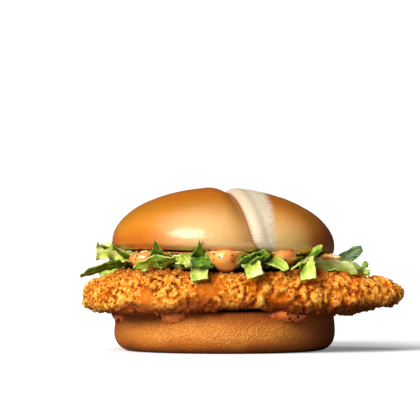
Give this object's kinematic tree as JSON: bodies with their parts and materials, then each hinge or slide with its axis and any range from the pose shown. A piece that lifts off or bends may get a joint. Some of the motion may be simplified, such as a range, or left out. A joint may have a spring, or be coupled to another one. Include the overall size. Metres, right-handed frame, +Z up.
{
  "type": "chicken burger",
  "caption": "Round glossy bun with a breaded fillet wider than the bun, cut lettuce and an orange sauce above and below the fillet.",
  "frame": {"origin": "centre of the heel's flat base, on the surface that the burger stands on", "axes": "+Z up through the bun, +X along the fillet towards its pointed end, -Y towards the shown front"},
  "size_m": [0.1617, 0.1225, 0.0811],
  "materials": {
    "heel_bread": "matt baked crust with a fine grain",
    "crown_bread": "smooth glazed crust",
    "fried_crust": "rough fried crumb with a little oil",
    "lettuce": "satin leaf",
    "sauce": "wet gloss"
  },
  "bodies": {
    "root": {"heel": "heel_bread", "sauce_lower": "sauce", "fillet": "fried_crust", "lettuce": "lettuce", "sauce_upper": "sauce", "crown": "crown_bread"}
  },
  "joints": []
}
